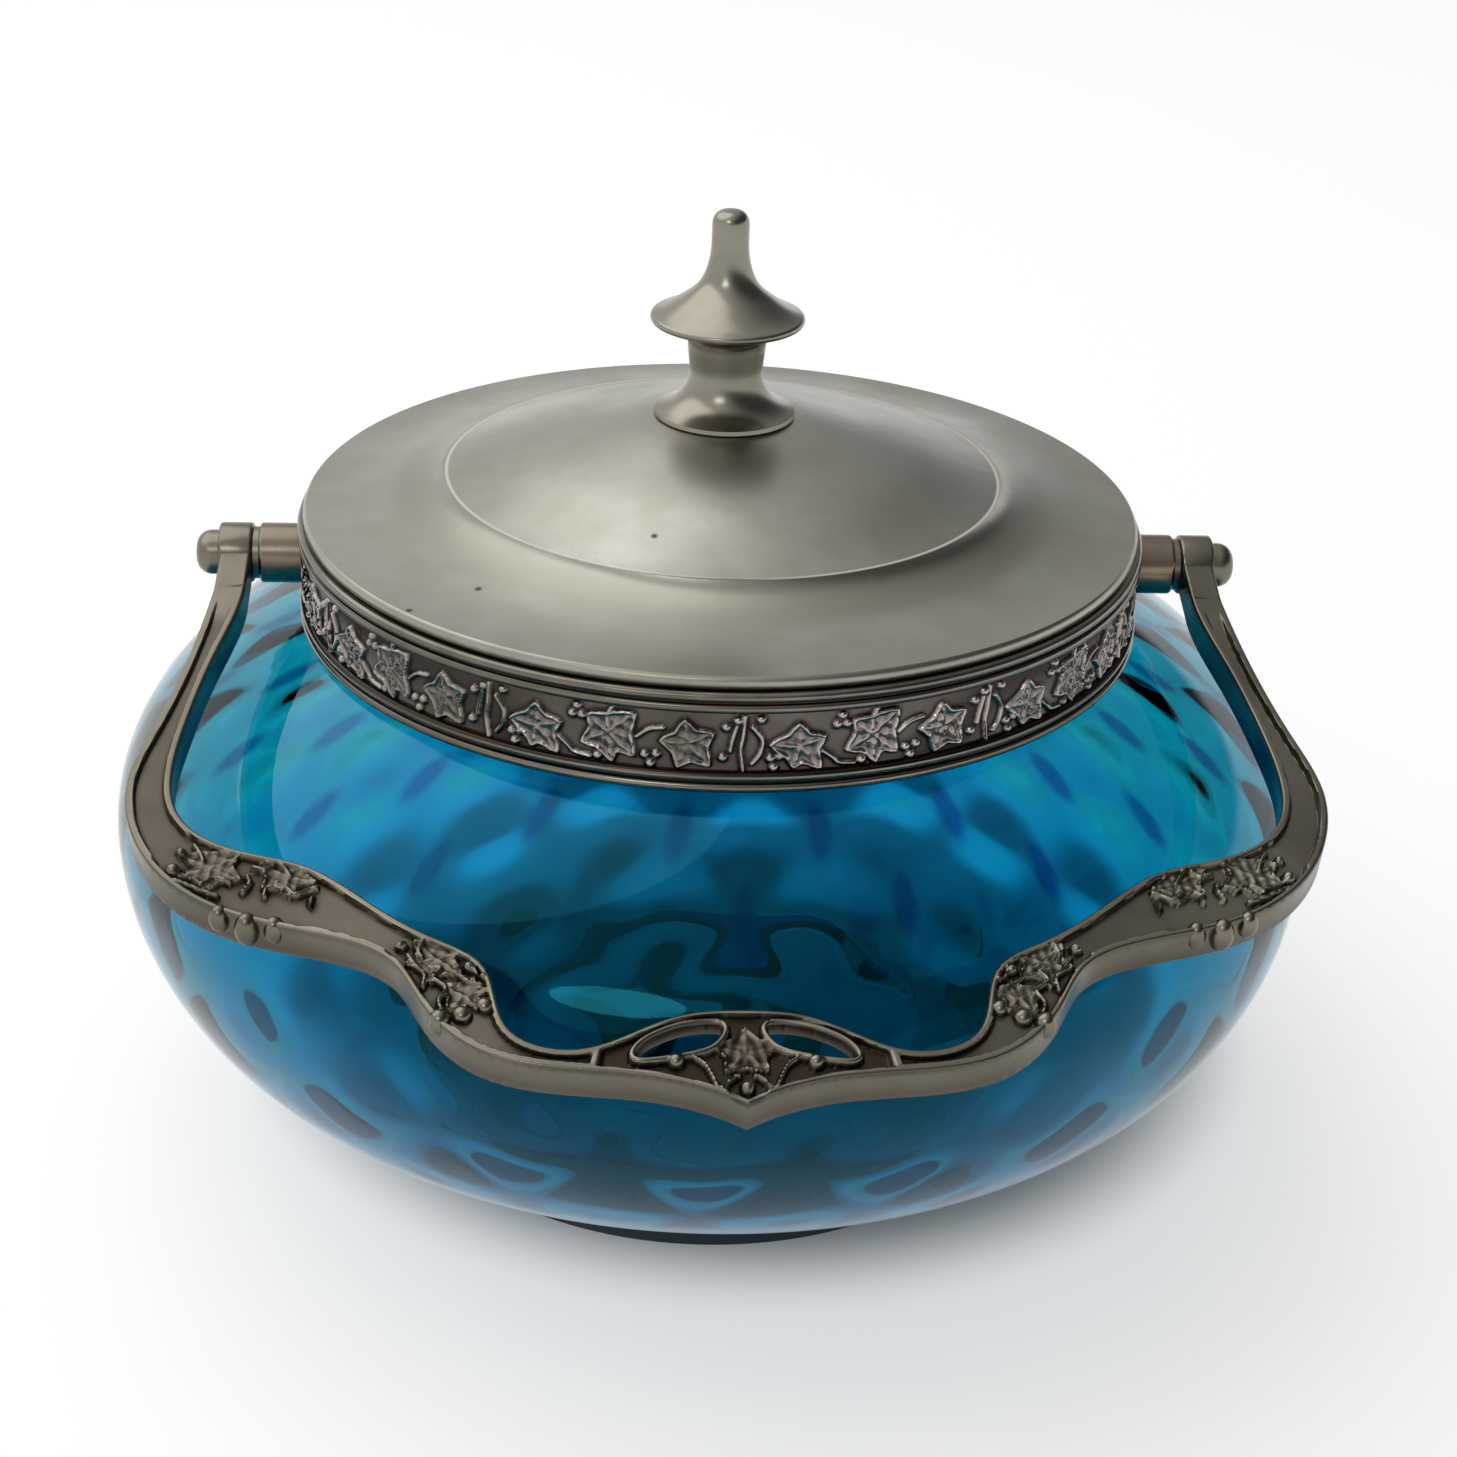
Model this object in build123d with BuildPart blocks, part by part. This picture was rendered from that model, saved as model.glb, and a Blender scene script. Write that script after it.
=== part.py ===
from build123d import *
import os
from math import acos, cos, degrees, radians, sin, sqrt

# Squat glass biscuit jar with a plated collar, a swinging bail handle and a lift-off lid.
# Origin: centre of the foot on the table. +Z up, X along the handle's pivot line, -Y front.
# Millimetres.

# Driving dimensions: glass
bowl_radius = 95.0
belly_height = 53.0
belly_drop = 57.0
shoulder_rise = 45.0
foot_radius = 51.8
glass = 3.2
floor_height = 4.5
neck_radius = 59.6
neck_top = 99.9

# Driving dimensions: collar
collar_radius = 64.3
collar_foot = 86.9
seat_height = 101.6
seat_inner = 56.2
seat_sheet = 1.5
reed_radius = 0.75
reed_pitch = 1.65
reed_stand = 0.25
reed_web = 0.45
lower_reed = 87.25
lower_web_top = 89.4
upper_web_foot = 98.7
upper_reed = 99.3

# Driving dimensions: lid
lid_radius = 64.3
rim_top = 103.8
dome_radius = 42.6
dome_foot = 108.8
lid_sheet = 1.3
lid_gap = 0.1
rim_land = 54.4
bezel_bottom = 96.9
bezel_sheet = 1.1
finial_seat = 118.0
finial_foot_radius = 10.8
finial_disc_radius = 11.7
stud_radius = 2.0
stud_bottom = 110.8
stud_length = 16.8
under_washer_radius = 6.5
under_washer_sheet = 0.8
nut_radius = 4.0
nut_height = 3.2

# Driving dimensions: pivots
pivot_height = 93.9
lug_radius = 4.65
lug_end = 71.4
washer_thickness = 0.9
eye_inner = 72.4
eye_width = 5.2
screw_radius = 1.85
screw_depth = 4.4
thread_gap = 0.05
running_gap = 0.06
head_radius = 3.45
head_height = 3.5
head_round = 2.3

# Driving dimensions: bail handle, in its own plane
bail_rest_angle = 15.5
bail_thickness = 5.6
bail_tip = 113.4
bail_arch = 97.5
channel_depth = 0.9
bracket_web = 2.0
knuckle_bead = 1.9
scroll_bead = 1.5
small_bead = 1.1

# Worked-out sizes
rim_bottom = seat_height + lid_gap
seat_bottom = seat_height - seat_sheet
bezel_radius = seat_inner - 0.5
eye_outer = eye_inner + eye_width
half_bail = bail_thickness / 2

os.makedirs("parts", exist_ok=True)


def save(piece, name):
    """Label a finished piece and write its STEP file."""
    piece.part.label = name
    export_step(piece.part, f"parts/{name}.step")


def ellipse_angle(radius, half_width):
    """Parameter angle where an ellipse of this half width reaches a radius."""
    return degrees(acos(radius / half_width))


# Glass bowl: two quarter ellipses between the foot and the upright neck
with BuildPart() as glass_bowl:
    with BuildSketch(Plane.XZ):
        with BuildLine():
            foot_angle = ellipse_angle(foot_radius, bowl_radius)
            neck_angle = ellipse_angle(neck_radius, bowl_radius)
            belly = EllipticalCenterArc(
                (0, belly_height), bowl_radius, belly_drop, start_angle=-foot_angle, arc_size=foot_angle
            )
            shoulder = EllipticalCenterArc(
                (0, belly_height), bowl_radius, shoulder_rise, start_angle=0, arc_size=neck_angle
            )
            Polyline(
                shoulder @ 1, (neck_radius, neck_top), (0, neck_top), (0, 0), (foot_radius, 0), belly @ 0
            )
        make_face()
    revolve(axis=Axis.Z)
    outer_rims = glass_bowl.edges().filter_by(GeomType.CIRCLE).sort_by(Axis.Z)
    fillet(outer_rims[0], 0.8)
    inside_radius = bowl_radius - glass
    inside_drop = belly_drop - glass
    inside_rise = shoulder_rise - glass
    mouth_radius = neck_radius - glass
    floor_radius = inside_radius * sqrt(1 - ((belly_height - floor_height) / inside_drop) ** 2)
    with BuildSketch(Plane.XZ):
        with BuildLine():
            floor_angle = ellipse_angle(floor_radius, inside_radius)
            mouth_angle = ellipse_angle(mouth_radius, inside_radius)
            low_inside = EllipticalCenterArc(
                (0, belly_height), inside_radius, inside_drop, start_angle=-floor_angle, arc_size=floor_angle
            )
            high_inside = EllipticalCenterArc(
                (0, belly_height), inside_radius, inside_rise, start_angle=0, arc_size=mouth_angle
            )
            Polyline(
                high_inside @ 1, (mouth_radius, neck_top), (0, neck_top), (0, floor_height), low_inside @ 0
            )
        make_face()
    revolve(axis=Axis.Z, mode=Mode.SUBTRACT)
save(glass_bowl, "glass_bowl")

# Plaster between the glass neck and the collar
with BuildPart() as bedding_ring:
    with BuildSketch(Plane.XZ):
        with BuildLine():
            ring_inner = neck_radius + 0.1
            ring_outer = collar_radius - seat_sheet - 0.1
            ring_top = seat_bottom - 0.3
            Polyline(
                (ring_inner, 88.3), (ring_outer, 87.2), (ring_outer, ring_top), (ring_inner, ring_top),
                close=True,
            )
        make_face()
    revolve(axis=Axis.Z)
save(bedding_ring, "bedding_ring")

# Rolled frieze strip
with BuildPart() as collar_band:
    with BuildSketch(Plane.XY.offset(collar_foot)):
        Circle(collar_radius)
        Circle(collar_radius - seat_sheet, mode=Mode.SUBTRACT)
    extrude(amount=seat_bottom - collar_foot)
save(collar_band, "collar_band")


def reeded_section(first_reed, web_low, web_high):
    """Section of a pair of half-round reeds on a thin web, outside the frieze strip."""
    reed_centre = collar_radius + reed_stand
    with Locations((reed_centre, first_reed), (reed_centre, first_reed + reed_pitch)):
        Circle(reed_radius)
    with Locations((collar_radius, web_low)):
        Rectangle(reed_web, web_high - web_low, align=(Align.MIN, Align.MIN))
    with Locations((0, web_low - 1)):
        Rectangle(collar_radius, web_high - web_low + 2, align=(Align.MIN, Align.MIN), mode=Mode.SUBTRACT)


# Seat ring with the upper reeds: the lid lies on its flat top
with BuildPart() as collar_rim:
    with BuildSketch(Plane.XZ):
        reeded_section(upper_reed, upper_web_foot, seat_height)
        with Locations((seat_inner, seat_bottom)):
            Rectangle(collar_radius + 0.4 - seat_inner, seat_sheet, align=(Align.MIN, Align.MIN))
    revolve(axis=Axis.Z)
save(collar_rim, "collar_rim")

# Lower reeds, on the glass shoulder
with BuildPart() as collar_foot_moulding:
    with BuildSketch(Plane.XZ):
        reeded_section(lower_reed, collar_foot, lower_web_top)
    revolve(axis=Axis.Z)
save(collar_foot_moulding, "collar_foot_moulding")

# Pivot pieces, the same on both sides: boss, spacer washer and domed screw
for side, name in ((-1, "left"), (1, "right")):
    side_plane = Plane(origin=(0, 0, pivot_height), x_dir=(0, side, 0), z_dir=(side, 0, 0))
    boss_root = collar_radius - 4
    shank_start = lug_end - screw_depth

    with BuildPart() as lug:
        with BuildSketch(side_plane.offset(boss_root)):
            Circle(lug_radius)
        extrude(amount=lug_end - boss_root)
        fillet(lug.edges().filter_by(GeomType.CIRCLE).sort_by(Axis.X)[-1 if side > 0 else 0], 0.5)
        with BuildSketch(side_plane.offset(shank_start - 0.4)):
            Circle(screw_radius + thread_gap)
        extrude(amount=lug_end - shank_start + 0.4, mode=Mode.SUBTRACT)
        # root hollowed to the band, and cut back over the lower reeds
        with BuildSketch(Plane.XY.offset(belly_height)):
            Circle(collar_radius + 0.02)
        extrude(amount=belly_height, mode=Mode.SUBTRACT)
        with BuildSketch(Plane.XY.offset(belly_height)):
            Circle(collar_radius + reed_stand + reed_radius + 0.02)
        extrude(amount=lower_web_top + 0.4 - belly_height, mode=Mode.SUBTRACT)
    save(lug, f"lug_{name}")

    with BuildPart() as washer:
        with BuildSketch(side_plane.offset(lug_end)):
            Circle(lug_radius - 0.6)
            Circle(screw_radius + thread_gap, mode=Mode.SUBTRACT)
        extrude(amount=washer_thickness)
    save(washer, f"pivot_washer_{name}")

    with BuildPart() as screw:
        with BuildSketch(side_plane.offset(shank_start)):
            Circle(screw_radius)
        extrude(amount=eye_outer + 0.2 - shank_start)
        with BuildSketch(side_plane.offset(eye_outer + 0.1)):
            Circle(head_radius)
        extrude(amount=head_height)
        fillet(screw.faces().sort_by(Axis.X)[-1 if side > 0 else 0].edges(), head_round)
    save(screw, f"pivot_screw_{name}")

# Bail handle: one casting in a plane through the pivots, hanging forward onto the glass
tilt = radians(bail_rest_angle)
bail_plane = Plane(origin=(0, 0, pivot_height), x_dir=(1, 0, 0), z_dir=(0, -sin(tilt), cos(tilt)))
with BuildPart() as bail_handle:
    with BuildSketch(bail_plane.offset(-half_bail)):
        with BuildLine():
            # outer edge: pointed centre, scroll, knuckle and bowed arm up to the eye
            front = Spline(
                (0, -bail_tip), (11, -109.1), (23, -107.7), (33.8, -104.9), (42, -96.5), (46.3, -89.2),
                (53.7, -85.1), (66, -81.6), (77.3, -74.6), (83.4, -64.5), (84.9, -55), (82.6, -43.5),
                (78.9, -25.5), (77.2, -12), tangents=[(0.8, 0.5), (-0.1, 1)],
            )
            eye_side = Line(front @ 1, (eye_outer - 0.4, 0))
            across = Line(eye_side @ 1, (eye_inner + 0.2, 0))
            inner_side = Line(across @ 1, (eye_inner + 0.2, -11))
            # inner edge: bowed arm, knuckle, scroll and the arch over the pierced bracket
            bow = Spline(
                inner_side @ 1, (75.3, -27), (78.1, -43.5), (78.8, -53.5), (76.8, -62), (70.5, -67.6),
                (58.6, -71.6), (50.2, -77.9), (40.5, -85), (34.3, -89.4), (32.3, -95.5), (30, -101.5),
                (21.5, -104.3), (14.8, -101.6), (7.5, -98.2), (0, -bail_arch), tangents=[(0, -1), (-1, 0)],
            )
            Line(bow @ 1, front @ 0)
        make_face()
        mirror(about=Plane.YZ)
    extrude(amount=bail_thickness)

    # two pierced openings either side of the centre leaf
    with BuildSketch(bail_plane.offset(-bail_thickness)):
        with BuildLine():
            Spline(
                (3.2, -100.3), (8, -100.6), (12.6, -103), (13.9, -105.6), (8.8, -105), (4.4, -103.4),
                periodic=True,
            )
        make_face()
        mirror(about=Plane.YZ)
    extrude(amount=2 * bail_thickness, mode=Mode.SUBTRACT)

    # back of the bracket hollowed to a thin web, behind the thick front border
    with BuildSketch(bail_plane.offset(-half_bail)):
        with BuildLine():
            border_back = Spline((17, -103.4), (13, -105.9), (8.5, -107.3), (4, -109), (0, -110.8))
            Polyline(border_back @ 1, (0, 1 - bail_arch), (17, 1 - bail_arch), border_back @ 0)
        make_face()
        mirror(about=Plane.YZ)
    extrude(amount=bail_thickness - bracket_web, mode=Mode.SUBTRACT)

    # recessed channels between the raised borders, on the face seen from the front
    with BuildSketch(bail_plane.offset(half_bail - channel_depth)):
        for outer_points, inner_points in (
            (
                [(76, -14), (77.7, -25.5), (81.4, -43.5), (83.5, -55), (82.1, -63.5), (78, -70.5)],
                [(74.3, -14), (76.4, -26.5), (79.3, -43), (80.1, -53.5), (78.3, -62.5), (74.5, -68)],
            ),
            ([(57.5, -82.6), (50, -85.3), (45.8, -88)], [(55.5, -75.6), (51, -79), (43.5, -84.7)]),
            ([(31, -104.7), (23, -106.6), (13, -107.6)], [(30.5, -103), (22.5, -105.4), (14.5, -103.6)]),
        ):
            with BuildLine():
                outer_curve = Spline(outer_points)
                inner_curve = Spline(inner_points)
                Line(outer_curve @ 0, inner_curve @ 0)
                Line(outer_curve @ 1, inner_curve @ 1)
            make_face()
        mirror(about=Plane.YZ)
    extrude(amount=2 * channel_depth, mode=Mode.SUBTRACT)

    # bead clusters on the knuckles and scrolls, berry and beads at the centre
    berry_height = half_bail - 0.5
    with Locations(bail_plane):
        with Locations((0, -110.4, berry_height), (9.2, -106.6, berry_height), (-9.2, -106.6, berry_height)):
            Sphere(small_bead)
        for side in (-1, 1):
            with Locations((side * 62.4, -81.0, 1.4), (side * 65.8, -81.9, 1.4), (side * 69.3, -80.4, 1.4)):
                Sphere(knuckle_bead)
            with Locations((side * 33.6, -97.2, 2), (side * 36.6, -98.6, 2), (side * 39.4, -98.9, 1.6)):
                Sphere(scroll_bead)
            with Locations((side * 77.6, -73, 2.2), (side * 57, -78.2, 2.2)):
                Sphere(small_bead)

    # eyes on the pivot line, bored for the screws
    for side in (-1, 1):
        eye_plane = Plane(origin=(side * eye_inner, 0, pivot_height), x_dir=(0, side, 0), z_dir=(side, 0, 0))
        with BuildSketch(eye_plane):
            Circle(lug_radius)
        extrude(amount=eye_width)
        with BuildSketch(eye_plane.offset(-1)):
            Circle(screw_radius + running_gap)
        extrude(amount=eye_width + 2, mode=Mode.SUBTRACT)
save(bail_handle, "bail_handle")

# Lid: spun plate with a cove up to a crisp ring, then a low dome with a flat for the finial
with BuildPart() as lid_cover:
    with BuildSketch(Plane.XZ):
        with BuildLine():
            rim = ThreePointArc(
                (lid_radius - 0.5, rim_bottom), (lid_radius + 0.1, 102.7), (lid_radius - 0.4, rim_top)
            )
            cove = Spline(
                rim @ 1, (53, 104.8), (47, 106.2), (dome_radius + 0.3, dome_foot),
                tangents=[(-1, 0.02), (-0.5, 1)],
            )
            ring = Line(cove @ 1, (dome_radius - 0.3, dome_foot))
            dome = Spline(
                ring @ 1, (30, 113.0), (19, 116.2), (11, finial_seat), tangents=[(-1, 0.25), (-1, 0.15)]
            )
            Polyline(
                dome @ 1, (stud_radius + 0.2, finial_seat), (stud_radius + 0.2, finial_seat - lid_sheet),
                (11, finial_seat - lid_sheet),
            )
            under_dome = Spline(
                (11, finial_seat - lid_sheet), (19, 114.8), (30, 111.6), (41.5, dome_foot - 1.7),
                tangents=[(1, -0.15), (1, -0.3)],
            )
            under_cove = Spline(
                under_dome @ 1, (46.5, 104.6), (rim_land, 103.2), tangents=[(0.5, -1), (1, -0.05)]
            )
            Polyline(under_cove @ 1, (rim_land, rim_bottom), rim @ 0)
        make_face()
    revolve(axis=Axis.Z)
save(lid_cover, "lid_cover")

# Locating ring under the lid
with BuildPart() as lid_bezel:
    with BuildSketch(Plane.XY.offset(bezel_bottom)):
        Circle(bezel_radius)
        Circle(bezel_radius - bezel_sheet, mode=Mode.SUBTRACT)
    extrude(amount=rim_bottom - bezel_bottom)
    fillet(lid_bezel.edges().group_by(Axis.Z)[0], 0.3)
save(lid_bezel, "lid_bezel")

# Turned finial: flared foot, waist, disc and plain stem
with BuildPart() as finial:
    with BuildSketch(Plane.XZ):
        with BuildLine():
            foot = Polyline(
                (stud_radius + 0.1, finial_seat), (finial_foot_radius - 0.3, finial_seat),
                (finial_foot_radius, finial_seat + 0.3), (finial_foot_radius - 0.1, 118.9),
            )
            waist = Spline(
                foot @ 1, (7, 121.2), (5.6, 125), (5.9, 128.6), (11.2, 132.7),
                tangents=[(-1, 0.3), (1, 0.3)],
            )
            disc = ThreePointArc(waist @ 1, (finial_disc_radius, 133.3), (11.3, 133.9))
            cone = Spline(
                disc @ 1, (7, 136.4), (4.4, 138.8), (3.1, 142.2), (2.8, 147.6),
                tangents=[(-1, 0.35), (0, 1)],
            )
            tip = Spline(cone @ 1, (2.2, 149.3), (0, 149.9), tangents=[(0, 1), (-1, 0)])
            Polyline(tip @ 1, (0, 128), (stud_radius + 0.1, 128), foot @ 0)
        make_face()
    revolve(axis=Axis.Z)
save(finial, "finial")

# Stud, washer and nut that hold the finial to the dome
with BuildPart() as finial_stud:
    with BuildSketch(Plane.XY.offset(stud_bottom)):
        Circle(stud_radius)
    extrude(amount=stud_length)
    chamfer(finial_stud.edges().filter_by(GeomType.CIRCLE), 0.4)
save(finial_stud, "finial_stud")

with BuildPart() as finial_washer:
    with BuildSketch(Plane.XY.offset(finial_seat - lid_sheet - under_washer_sheet)):
        Circle(under_washer_radius)
        Circle(stud_radius + 0.2, mode=Mode.SUBTRACT)
    extrude(amount=under_washer_sheet)
save(finial_washer, "finial_washer")

with BuildPart() as finial_nut:
    with BuildSketch(Plane.XY.offset(finial_seat - lid_sheet - under_washer_sheet - nut_height)):
        RegularPolygon(nut_radius, 6)
        Circle(stud_radius + thread_gap, mode=Mode.SUBTRACT)
    extrude(amount=nut_height)
save(finial_nut, "finial_nut")
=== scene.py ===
from math import acos, cos, pi, radians, sin

import bmesh
import bpy
import numpy as np
from mathutils import Matrix, Vector


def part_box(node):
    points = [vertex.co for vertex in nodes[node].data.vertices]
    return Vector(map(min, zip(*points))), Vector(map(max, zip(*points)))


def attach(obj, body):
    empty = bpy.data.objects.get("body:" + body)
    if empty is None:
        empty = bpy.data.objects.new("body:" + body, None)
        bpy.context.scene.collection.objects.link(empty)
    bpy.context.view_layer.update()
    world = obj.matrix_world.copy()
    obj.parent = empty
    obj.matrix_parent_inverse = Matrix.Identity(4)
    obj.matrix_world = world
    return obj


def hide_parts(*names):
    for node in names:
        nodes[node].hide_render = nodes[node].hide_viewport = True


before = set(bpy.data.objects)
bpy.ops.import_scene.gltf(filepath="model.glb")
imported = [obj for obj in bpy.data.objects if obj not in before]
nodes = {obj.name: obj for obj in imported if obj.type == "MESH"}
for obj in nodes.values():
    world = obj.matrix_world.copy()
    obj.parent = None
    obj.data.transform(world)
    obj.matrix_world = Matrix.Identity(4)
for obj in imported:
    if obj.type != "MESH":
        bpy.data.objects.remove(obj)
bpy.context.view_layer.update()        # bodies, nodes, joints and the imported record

# Squat biscuit jar: blue optic-blown glass, a plated collar with an ivy frieze, a plated lift-off
# lid with a turned finial, and a cast bail handle. Metres, in the frame of the CAD model.

mm = 0.001

# Sizes read from the frame
bowl_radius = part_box("glass_bowl")[1][0]
neck_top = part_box("glass_bowl")[1][2]
band_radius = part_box("collar_band")[1][0]
band_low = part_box("collar_band")[0][2]
band_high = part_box("collar_band")[1][2]

# Glass, as in the CAD model
belly_height = 53 * mm
belly_drop = 57 * mm
shoulder_rise = 45 * mm
foot_radius = 51.8 * mm
wall = 3.2 * mm
floor_height = 4.5 * mm
neck_radius = 59.6 * mm

# Glass mesh: rounded foot and lip, underside lifted near the foot, inside floor, rows and columns
foot_round = 0.8 * mm
lip_round = 0.6 * mm
foot_lift = 3.5 * mm
lift_start = 90 * mm
lift_reach = 26 * mm
inside_start = 38 * mm
floor_edge = 2 * mm
floor_middle = 30 * mm
axis_radius = 0.02 * mm
diamond_columns = 26
outer_rows = 110
inner_rows = 190

# Glass colours: low in the bowl (partly thicker glass, partly painted shade), on the foot, on the painted
# shade streaks, in its shine and in its depth
low_glass_tint_heights = (16 * mm, 46 * mm)
low_glass_thick_and_shade = (0.25, 0.59, 1.0)
foot_glass = (0.008, 0.045, 0.13)
glass_streak_shade = (0.05, 0.16, 0.5)
glass_shine = (0.04, 0.52, 0.7, 1)
glass_shine_level = 0.3
glass_depth = (0.0, 0.786, 0.843, 1)
glass_density = 760.0
lamp_share = (0.93, 0.93, 0.93, 1)
glass_wave = 0.10 * mm

# Diamond optic on the inside of the glass
diamonds_around = 22
diamond_height = 24.6 * mm
optic_relief = 0.64 * mm
optic_roundness = 1.8
optic_turn = radians(5.6)
optic_twist = radians(0.08) / mm
optic_row = -10.4 * mm
optic_foot = -34 * mm
optic_fade_low = 16 * mm
optic_fade_high = 10 * mm
# Painted shade streaks on the shoulder: half size, softness, lowest arc and fade
streak_half = (2.3 * mm, 6.5 * mm)
streak_soft = 0.5
streak_low = 14 * mm
streak_fade = 8 * mm

# Frieze, between the two pairs of reeds
band_sheet = 1.5 * mm
frieze_low = 89.4 * mm
frieze_high = 98.7 * mm
frieze_units = 11
frieze_relief = 0.75 * mm
frieze_columns = 190
frieze_rows = 52
groove_heights = [88.08 * mm, 98.6 * mm, 100.12 * mm, 89.5 * mm]
groove_reach = 0.45 * mm
frieze_start = -36.1 * mm / band_radius

# One repeat of the frieze, in millimetres from its lower left
frieze_margin = 0.05
frieze_slope = 0.3
frieze_leaves = [
    ((7.7, 4.0), [(11.0, 0.3), (11.6, 5.5), (7.6, 7.9), (3.2, 4.4), (6.8, 0.5)]),
    ((17.9, 5.0), [(18.8, 0.2), (22.0, 1.5), (22.0, 8.5), (15.0, 7.6), (14.0, 2.8)]),
    ((29.1, 4.4), [(27.6, 0.4), (32.4, 0.9), (32.9, 6.3), (28.6, 8.3), (24.9, 4.6)]),
]
frieze_stems = [
    [(0.1, 8.7), (-0.1, 5.6), (-0.4, 3.5), (0, 0.3)],
    [(1.2, 7.0), (2.5, 5.1), (2.3, 3.1), (1.2, 1.5)],
    [(11.0, 3.1), (12.4, 2.0), (13.3, 1.2), (15.5, 0.9)],
    [(18.0, 5.8), (17.9, 7.4), (18.6, 8.9)],
    [(22.0, 4.8), (23.7, 6.1), (25.7, 6.5)],
    [(34.9, 3.4), (35.2, 5.2), (35.8, 7.4)],
]
frieze_berries = [
    (13.6, 8.3), (12.9, 7.0), (14.3, 7.0), (23.2, 2.2), (24.8, 2.4), (24.0, 0.9), (3.7, 2.3), (5.0, 2.6),
    (4.2, 0.9), (34.3, 7.0), (35.9, 8.0), (33.9, 2.4), (2.3, 8.2), (16.6, 1.2),
]

# Chasing of an ivy leaf: lengths in millimetres, dip and hollow as shares
leaf_dip = 0.3
leaf_hollow = 0.42
leaf_vein = 0.95
leaf_edge = 0.45
leaf_line = 0.3

# Noise of the metal, in waves per metre, and the depth of its dents
cloud_scale = 38.0
dent_scale = 90.0
speck_scale = 900.0
grain_scale = 1500.0
dent_depth = 0.12 * mm

# Wear on the lid: pits, with a painted highlight along the dome's edge and painted shade in the cove
dome_edge = 42.5 * mm
dome_highlight_reach = 0.4 * mm
cove_radius = 47 * mm
cove_shade_reach = 6 * mm
pit_radii = (0.3 * mm, 0.7 * mm)
lid_pits = [
    (-36.3 * mm, -38.1 * mm, 104.9 * mm), (-11.3 * mm, -33.0 * mm, 111.4 * mm),
    (59.9 * mm, -29.7 * mm, 103.8 * mm), (-45.8 * mm, -43.5 * mm, 103.9 * mm),
]

# Bail handle, in its own plane: u along the pivots, v away from them, n out of the front face
pivot_height = 93.9 * mm
bail_angle = radians(15.5)
bail_half = 2.8 * mm
eye_inner = 72.4 * mm
eye_width = 5.2 * mm
eye_radius = 4.65 * mm
eye_bore = 1.91 * mm
eye_round = 0.5 * mm

# Detail of the casting, in millimetres of the handle's plane
casting_step = 0.25
casting_columns = 46
casting_round = 0.4
wall_levels = 4
outline_step = 6
arm_outer = 77.2
arm_inner = 72.6
channel_depth = 0.9
channel_border = 1.0
channel_slope = 0.35
ground_depth = 0.95
ground_border = 0.7
ground_slope = 0.4
rim_middle = 0.55
rim_half = 0.6
rim_height = 1.2
niche_centre = (0, 110.9)
niche_radius = 2.6
niche_depth = 0.35
bead_stand = 0.45
hollow_slope = 0.4

# Ornamented stretches of the casting and its plain channel, by the number of the outer point
knuckle_stretch = (6.35, 8.42)
scroll_stretch = (3.55, 5.3)
stretch_soft = 0.15
centre_end = 1.70
centre_soft = 0.06
channel_first = 1.78
channel_first_soft = 0.03
channel_last = 12.8
channel_last_soft = 0.5

# Polish of the handle and the frieze's edge, from 0 for brown to 1 for bright; on the handle's walls and
# beads it also holds painted shade and light
front_polish = 0.64
wall_polish = 0.62
wall_painted_shade = 0.3
back_polish = 0.4
eye_polish = 0.75
bead_polish = 0.62
bead_painted_light = 0.36
frieze_edge_polish = 0.3
ground_brown = 0.24
bracket_ground_brown = 0.16
bracket_brown = 0.14
arm_ground_bright = 0.2
arm_wall_bright = 0.1
ground_start = 0.25
ground_reach = 0.6
bracket_half = 34
bracket_fade = 10
arm_start = 45
arm_fade = 20

# Leaves, raised lines and beads of the casting, in its plane
casting_leaves = [
    ((71.6, 71.8), [(75.8, 69.6), (76.2, 73.6), (71.8, 76.6), (67.0, 74.2), (67.6, 69.2)]),
    ((61.2, 73.4), [(65.4, 70.6), (64.6, 76.0), (60.4, 77.6), (56.8, 74.6), (59.4, 70.9)]),
    ((40.4, 88.4), [(43.6, 85.0), (44.6, 89.6), (41.0, 93.4), (36.6, 91.6), (37.0, 87.2)]),
    ((36.4, 95.0), [(39.6, 93.0), (38.8, 97.8), (34.4, 97.4), (32.8, 93.6), (35.2, 91.6)]),
    ((0, 104.8), [(0, 100.2), (4.6, 103.4), (3.0, 108.0), (-3.0, 108.0), (-4.6, 103.4)]),
]
knuckle_lines = [
    [(74.2, 67.6), (73.4, 68.9), (72.7, 70.6)],
    [(76.3, 74.2), (74.2, 75.3), (72.5, 76.2), (70.2, 77.2)],
    [(72.7, 75.1), (71.6, 74.2), (70.5, 73.8), (68.8, 74.7)],
    [(66.5, 73.4), (66.1, 74.8), (66.9, 76.4)],
    [
        (63.9, 77.1), (63.7, 75.9), (62.9, 75.2), (61.3, 75.4),
        (59.9, 76.8), (58.6, 76.3), (56.7, 75.4), (53.5, 74.9),
    ],
    [(62.7, 70.4), (61.6, 71.9), (60.7, 73.5)],
    [(65.8, 71.8), (64.2, 72.2), (63.0, 71.3)],
]
scroll_lines = [
    [(42.0, 84.5), (42.7, 87.0), (42.3, 88.3)],
    [(44.1, 87.9), (43.0, 89.8), (41.8, 91.4), (41.9, 93.4)],
    [(41.3, 90.0), (39.7, 90.2), (40.6, 91.9), (38.9, 93.7), (39.7, 95.8), (39.3, 97.6)],
    [(37.2, 91.5), (35.8, 92.7), (34.2, 93.2)],
    [(35.6, 89.4), (35.0, 91.3)],
]
centre_lines = [
    [(6.6, 105.6), (5.3, 106.8), (4.5, 108.5), (3.7, 110.6), (2.9, 110.3), (2.0, 109.2), (1.1, 108.6)],
]
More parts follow.
